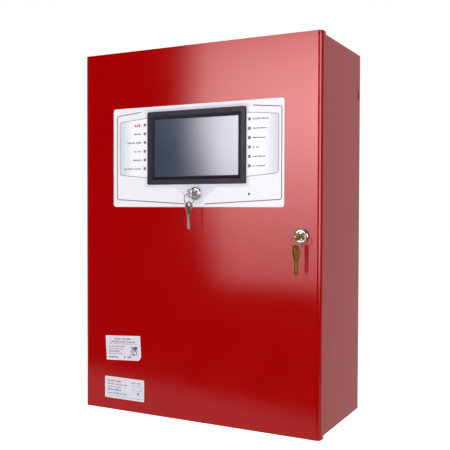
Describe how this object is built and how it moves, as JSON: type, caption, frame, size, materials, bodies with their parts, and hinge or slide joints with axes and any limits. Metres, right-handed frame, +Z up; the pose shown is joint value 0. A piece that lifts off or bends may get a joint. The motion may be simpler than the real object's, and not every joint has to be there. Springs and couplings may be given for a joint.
{
  "type": "fire alarm control panel",
  "caption": "Wall-mounted red steel fire alarm panel: hinged door with touch screen, status lamps and two key locks over a cabinet of boards, power supply and batteries.",
  "frame": {"origin": "centre of the cabinet's back face, on the wall plane", "axes": "+Z up, +X to the right of a person who faces the panel, the door faces -Y and +Y points into the wall"},
  "size_m": [0.428, 0.2242, 0.6],
  "materials": {
    "red_paint": "smooth semi-gloss deep red powder coat on steel sheet",
    "white_label": "printed white polycarbonate or paper, satin",
    "black_plastic": "moulded black plastic, fine texture",
    "screen_glass": "dark touch screen behind a glossy cover",
    "grey_lens": "smoked translucent lamp lenses, unlit",
    "zinc_steel": "bright zinc-plated steel",
    "chrome": "bright chrome plate",
    "nickel": "nickel-plated brass key",
    "brass": "stamped brass key",
    "brass_stud": "machined brass stud and nut",
    "circuit_board": "green solder resist with black and white parts",
    "terminal_green": "green moulded terminal housing",
    "battery_case": "dark grey moulded battery case",
    "rubber": "black rubber",
    "wire_red": "red wire insulation",
    "wire_black": "black wire insulation",
    "wire_earth": "green and yellow wire insulation",
    "ribbon_grey": "grey flat cable"
  },
  "bodies": {
    "cabinet": {"back_box": "red_paint", "hinge_cabinet_leaf": "zinc_steel", "hinge_pin": "zinc_steel", "chassis_plate": "zinc_steel", "main_board": "circuit_board", "loop_card_left": "circuit_board", "loop_card_right": "circuit_board", "field_terminal_strip": "terminal_green", "power_supply_tray": "zinc_steel", "power_supply_board": "circuit_board", "power_supply_cover": "zinc_steel", "mains_terminal_block": "white_label", "mains_fuse_holder": "black_plastic", "battery_left": "battery_case", "battery_right": "battery_case", "battery_bracket": "zinc_steel", "battery_link_lead": "wire_black", "battery_lead_red": "wire_red", "battery_lead_black": "wire_black", "cabinet_earth_stud": "brass_stud", "mains_cable_grommet": "rubber", "loop_cable_grommet": "rubber", "display_cable": "ribbon_grey", "door_earth_lead": "wire_earth"},
    "door": {"door_panel": "red_paint", "hinge_door_leaf": "zinc_steel", "door_bumper_upper": "rubber", "door_bumper_lower": "rubber", "faceplate_overlay": "white_label", "display_bezel": "black_plastic", "touch_panel": "screen_glass", "lcd_module": "zinc_steel", "display_bracket": "zinc_steel", "display_board": "circuit_board", "light_pipe_left": "grey_lens", "light_pipe_right": "grey_lens", "led_board_left": "circuit_board", "led_board_right": "circuit_board", "sounder": "black_plastic", "upper_label": "white_label", "lower_label": "white_label", "access_lock_body": "chrome", "access_lock_nut": "zinc_steel", "door_lock_body": "chrome", "door_lock_nut": "zinc_steel", "door_earth_stud": "brass_stud"},
    "access_plug": {"access_lock_plug": "chrome"},
    "access_key": {"access_key": "nickel"},
    "access_ring": {"access_key_ring": "zinc_steel"},
    "access_spare": {"access_spare_key": "nickel"},
    "door_plug": {"door_lock_plug": "chrome", "door_lock_cam": "zinc_steel", "door_lock_cam_screw": "zinc_steel"},
    "door_key": {"door_key": "brass"},
    "door_ring": {"door_key_ring": "zinc_steel"},
    "door_spare_left": {"door_spare_key_left": "brass"},
    "door_spare_right": {"door_spare_key_right": "brass"}
  },
  "joints": [
    {"name": "door_hinge", "type": "hinge", "parent": "cabinet", "child": "door", "pos_m": [-0.2096, -0.177, 0], "axis": [0, 0, -1], "range_deg": [0, 120]},
    {"name": "access_lock_turn", "type": "hinge", "parent": "door", "child": "access_plug", "pos_m": [0.0045, -0.2003, 0.064], "axis": [0, 1, 0], "range_deg": [0, 90]},
    {"name": "access_key_withdraw", "type": "slide", "parent": "access_plug", "child": "access_key", "axis": [0, -1, 0], "range_m": [0, 0.024]},
    {"name": "access_ring_swing", "type": "hinge", "parent": "access_key", "child": "access_ring", "pos_m": [0.0045, -0.2171, 0.064], "axis": [-1, 0, 0], "range_deg": [-12, 60]},
    {"name": "access_spare_swing", "type": "hinge", "parent": "access_ring", "child": "access_spare", "pos_m": [0.0045, -0.2171, 0.047], "axis": [0.891, -0.454, 0], "range_deg": [-25, 25]},
    {"name": "door_lock_turn", "type": "hinge", "parent": "door", "child": "door_plug", "pos_m": [0.1835, -0.1993, 0], "axis": [0, 1, 0], "range_deg": [0, 90]},
    {"name": "door_key_withdraw", "type": "slide", "parent": "door_plug", "child": "door_key", "axis": [0, -1, 0], "range_m": [0, 0.024]},
    {"name": "door_ring_swing", "type": "hinge", "parent": "door_key", "child": "door_ring", "pos_m": [0.1835, -0.2161, 0], "axis": [-1, 0, 0], "range_deg": [-12, 60]},
    {"name": "door_spare_left_swing", "type": "hinge", "parent": "door_ring", "child": "door_spare_left", "pos_m": [0.18188, -0.2161, -0.01684], "axis": [0.891, -0.454, 0], "range_deg": [-25, 25]},
    {"name": "door_spare_right_swing", "type": "hinge", "parent": "door_ring", "child": "door_spare_right", "pos_m": [0.18512, -0.2161, -0.01684], "axis": [0.891, -0.454, 0], "range_deg": [-25, 25]}
  ]
}
